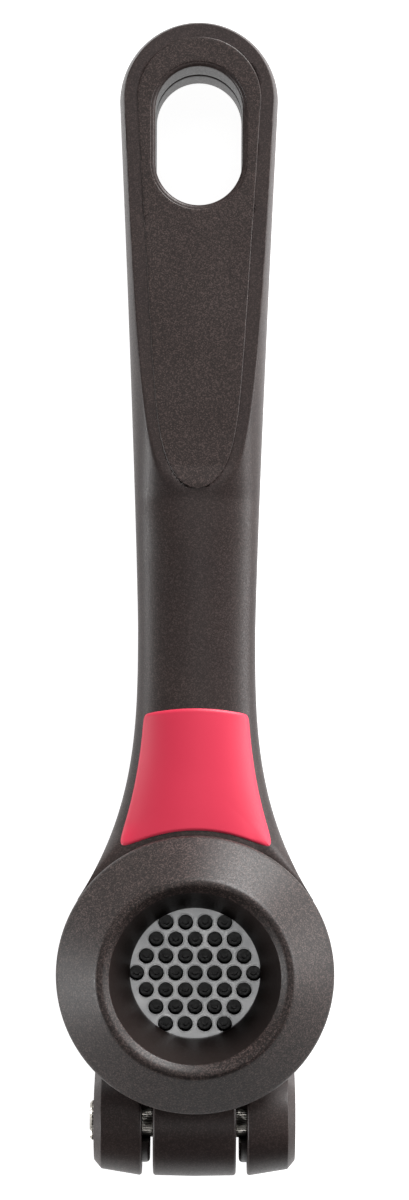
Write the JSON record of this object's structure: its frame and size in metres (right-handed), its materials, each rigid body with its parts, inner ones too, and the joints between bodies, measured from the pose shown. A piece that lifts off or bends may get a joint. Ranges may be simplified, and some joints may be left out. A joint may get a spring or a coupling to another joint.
{
  "type": "garlic press",
  "caption": "Hand garlic press: two moulded levers hinged at one end, a perforated steel cup behind a funnel collar, a swinging plunger with cleaning pins and a soft thumb pad.",
  "frame": {"origin": "middle of the closed press's footprint, on the surface it lies on", "axes": "+X across the levers, +Y from the hinge towards the hanging hole, +Z from the rear lever up to the funnel collar"},
  "size_m": [0.0498, 0.2084, 0.034],
  "materials": {
    "lever_nylon": "fine moulded grain with a faint metallic fleck",
    "cover_nylon": "slightly coarser moulded grain",
    "collar_nylon": "fine moulded grain with a polished funnel",
    "pad_elastomer": "satin",
    "plunger_plastic": "satin",
    "cup_steel": "satin stainless steel",
    "pin_steel": "turned and knurled",
    "screw_steel": "zinc plated"
  },
  "bodies": {
    "rear_lever": {"rear_frame": "lever_nylon", "rear_cover": "cover_nylon", "rear_liner": "cover_nylon", "rear_liner_screws": "screw_steel", "plunger": "plunger_plastic", "pin_plate": "plunger_plastic", "plunger_screws": "screw_steel", "hinge_pin": "pin_steel"},
    "front_lever": {"front_frame": "lever_nylon", "front_cover": "cover_nylon", "front_liner": "cover_nylon", "front_liner_screws": "screw_steel", "thumb_pad": "pad_elastomer", "funnel_collar": "collar_nylon", "collar_screws": "screw_steel", "sieve_cup": "cup_steel"}
  },
  "joints": [
    {"name": "lever_hinge", "type": "hinge", "parent": "rear_lever", "child": "front_lever", "pos_m": [0, -0.09425, 0.012], "axis": [1, 0, 0], "range_deg": [0, 120]}
  ]
}
